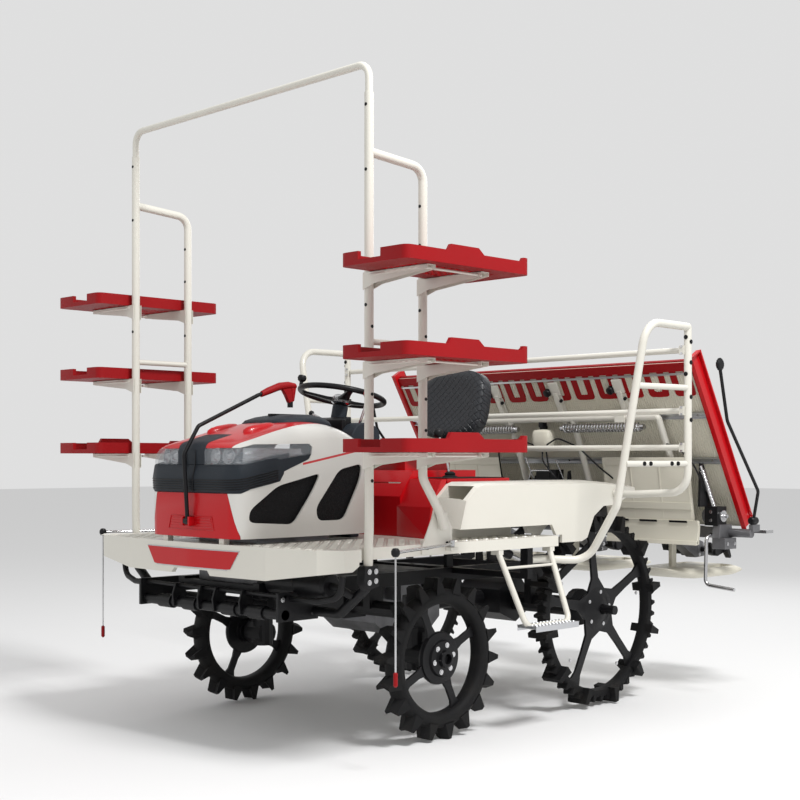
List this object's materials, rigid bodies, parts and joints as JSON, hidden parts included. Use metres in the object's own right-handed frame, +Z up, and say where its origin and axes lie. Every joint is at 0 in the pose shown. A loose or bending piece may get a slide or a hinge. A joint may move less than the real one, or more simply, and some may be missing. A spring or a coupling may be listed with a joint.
{
  "type": "riding rice transplanter",
  "caption": "Four-wheel riding rice transplanter with tilting hood, seedling tray racks at both sides, guard rails and a liftable planting unit with sliding tray platform.",
  "frame": {"origin": "middle of the overall length and width, at ground level under the wheels", "axes": "+Z up, -Y the way the machine faces, +X its left side"},
  "size_m": [2.278, 2.9531, 2.6095],
  "materials": {
    "cream_paint": "gloss",
    "red_paint": "gloss",
    "red_plastic": "satin",
    "cream_plastic": "satin",
    "grey_plastic": "matte",
    "black_paint": "satin",
    "black_rubber": "matte",
    "black_vinyl": "satin",
    "cast_metal": "matte",
    "plated_steel": "gloss",
    "clear_lens": "gloss"
  },
  "bodies": {
    "machine": {"chassis_frame": "black_paint", "transmission_case": "cast_metal", "engine_block": "cast_metal", "front_axle": "black_paint", "rear_axle_case": "black_paint", "front_carrier": "black_paint", "deck": "cream_paint", "dash": "grey_plastic", "seat_base": "red_paint", "fender_left": "cream_paint", "fender_right": "cream_paint", "rack_left": "cream_paint", "rack_right": "cream_paint", "rack_hoop": "cream_paint", "shelf_left_1": "red_plastic", "shelf_left_2": "red_plastic", "shelf_left_3": "red_plastic", "shelf_right_1": "red_plastic", "shelf_right_2": "red_plastic", "shelf_right_3": "red_plastic", "guard_frame": "cream_paint", "step_left": "cream_paint", "step_right": "cream_paint"},
    "hood": {"hood_side_left": "cream_paint", "hood_side_right": "cream_paint", "headlamp_left": "clear_lens", "headlamp_right": "clear_lens", "hood_top": "red_paint", "hood_cap": "grey_plastic", "grille": "grey_plastic", "front_panel": "red_paint"},
    "front_handle": {"front_handle": "black_paint"},
    "steering_wheel": {"steering_wheel": "black_rubber"},
    "knuckle_left": {"knuckle_left": "black_paint"},
    "knuckle_right": {"knuckle_right": "black_paint"},
    "front_wheel_left": {"front_wheel_left": "black_rubber"},
    "front_wheel_right": {"front_wheel_right": "black_rubber"},
    "rear_wheel_left": {"rear_wheel_left": "black_rubber"},
    "rear_wheel_right": {"rear_wheel_right": "black_rubber"},
    "seat": {"seat_cushion": "black_vinyl", "seat_back": "black_vinyl"},
    "side_indicator_left": {"side_indicator_left": "plated_steel"},
    "side_indicator_right": {"side_indicator_right": "plated_steel"},
    "lower_link": {"lower_link": "black_paint"},
    "upper_link": {"upper_link": "black_paint"},
    "lift_cylinder": {"lift_cylinder": "black_paint"},
    "lift_rod": {"lift_rod": "plated_steel"},
    "planting_unit": {"planting_frame": "cast_metal", "slide_rail": "plated_steel", "front_cover_left": "cream_plastic", "front_cover_right": "cream_plastic", "float_centre": "cream_plastic", "float_left": "cream_plastic", "float_right": "cream_plastic"},
    "tray_platform": {"tray_platform": "cream_plastic"},
    "rotor_1": {"rotor_1": "black_paint"},
    "rotor_2": {"rotor_2": "black_paint"},
    "rotor_3": {"rotor_3": "black_paint"},
    "line_marker_left": {"line_marker_left": "black_paint"},
    "line_marker_right": {"line_marker_right": "black_paint"}
  },
  "joints": [
    {"name": "steer_left", "type": "hinge", "parent": "machine", "child": "knuckle_left", "pos_m": [0.49, -0.6695, 0.328], "axis": [0, 0, 1], "range_deg": [-38, 38]},
    {"name": "steer_right", "type": "hinge", "parent": "machine", "child": "knuckle_right", "pos_m": [-0.49, -0.6695, 0.328], "axis": [0, 0, 1], "range_deg": [-38, 38]},
    {"name": "steering_wheel_turn", "type": "hinge", "parent": "machine", "child": "steering_wheel", "pos_m": [0, -0.6235, 1.407], "axis": [0, 0.2164, 0.9763], "range_deg": [-304, 304]},
    {"name": "front_wheel_left_spin", "type": "hinge", "parent": "knuckle_left", "child": "front_wheel_left", "pos_m": [0.626, -0.6695, 0.328], "axis": [1, 0, 0], "continuous": true},
    {"name": "front_wheel_right_spin", "type": "hinge", "parent": "knuckle_right", "child": "front_wheel_right", "pos_m": [-0.626, -0.6695, 0.328], "axis": [1, 0, 0], "continuous": true},
    {"name": "rear_wheel_left_spin", "type": "hinge", "parent": "machine", "child": "rear_wheel_left", "pos_m": [0.617, 0.3975, 0.442], "axis": [1, 0, 0], "continuous": true},
    {"name": "rear_wheel_right_spin", "type": "hinge", "parent": "machine", "child": "rear_wheel_right", "pos_m": [-0.617, 0.3975, 0.442], "axis": [1, 0, 0], "continuous": true},
    {"name": "hood_open", "type": "hinge", "parent": "machine", "child": "hood", "pos_m": [0, -1.4355, 0.822], "axis": [1, 0, 0], "range_deg": [0, 50]},
    {"name": "front_handle_swing", "type": "hinge", "parent": "hood", "child": "front_handle", "pos_m": [0, -1.4515, 0.885], "axis": [1, 0, 0], "range_deg": [0, 100]},
    {"name": "seat_tilt", "type": "hinge", "parent": "machine", "child": "seat", "pos_m": [0, -0.4135, 1.14], "axis": [1, 0, 0], "range_deg": [0, 60]},
    {"name": "indicator_left_swing", "type": "hinge", "parent": "machine", "child": "side_indicator_left", "pos_m": [0.76, -0.7335, 0.7965], "axis": [0, 0, 1], "range_deg": [0, 125]},
    {"name": "indicator_right_swing", "type": "hinge", "parent": "machine", "child": "side_indicator_right", "pos_m": [-0.76, -0.7335, 0.7965], "axis": [0, 0, -1], "range_deg": [0, 125]},
    {"name": "lift", "type": "hinge", "parent": "machine", "child": "lower_link", "pos_m": [0, 0.4765, 0.5], "axis": [1, 0, 0], "range_deg": [-54, 0]},
    {"name": "upper_link_swing", "type": "hinge", "parent": "machine", "child": "upper_link", "pos_m": [0, 0.4765, 0.65], "axis": [1, 0, 0], "range_deg": [-54, 0]},
    {"name": "planting_level", "type": "hinge", "parent": "lower_link", "child": "planting_unit", "pos_m": [0, 0.9465, 0.77], "axis": [1, 0, 0], "range_deg": [0, 54]},
    {"name": "lift_cylinder_swing", "type": "hinge", "parent": "machine", "child": "lift_cylinder", "pos_m": [0, 0.3165, 0.72], "axis": [1, 0, 0], "range_deg": [-22.02, 0]},
    {"name": "lift_rod_slide", "type": "slide", "parent": "lift_cylinder", "child": "lift_rod", "axis": [0, 0.9406, -0.3396], "range_m": [0, 0.103]},
    {"name": "platform_slide", "type": "slide", "parent": "planting_unit", "child": "tray_platform", "axis": [1, 0, 0], "range_m": [-0.14, 0.14]},
    {"name": "rotor_1_turn", "type": "hinge", "parent": "planting_unit", "child": "rotor_1", "pos_m": [-0.6, 1.2465, 0.675], "axis": [1, 0, 0], "continuous": true},
    {"name": "rotor_2_turn", "type": "hinge", "parent": "planting_unit", "child": "rotor_2", "pos_m": [0, 1.2465, 0.675], "axis": [1, 0, 0], "continuous": true},
    {"name": "rotor_3_turn", "type": "hinge", "parent": "planting_unit", "child": "rotor_3", "pos_m": [0.6, 1.2465, 0.675], "axis": [1, 0, 0], "continuous": true},
    {"name": "marker_left_swing", "type": "hinge", "parent": "planting_unit", "child": "line_marker_left", "pos_m": [1.06, 1.0165, 0.84], "axis": [0, 1, 0], "range_deg": [0, 100]},
    {"name": "marker_right_swing", "type": "hinge", "parent": "planting_unit", "child": "line_marker_right", "pos_m": [-1.06, 1.0165, 0.84], "axis": [0, -1, 0], "range_deg": [0, 100]}
  ],
  "couplings": [
    {"joint": "steer_right", "follows": "steer_left", "ratio": 1},
    {"joint": "steering_wheel_turn", "follows": "steer_left", "ratio": 8},
    {"joint": "upper_link_swing", "follows": "lift", "ratio": 1},
    {"joint": "planting_level", "follows": "lift", "ratio": -1},
    {"joint": "lift_cylinder_swing", "follows": "lift", "ratio": 0.3986},
    {"joint": "lift_rod_slide", "follows": "lift", "m_per_rad": -0.10822},
    {"joint": "rotor_2_turn", "follows": "rotor_1_turn", "ratio": 1},
    {"joint": "rotor_3_turn", "follows": "rotor_1_turn", "ratio": 1}
  ]
}
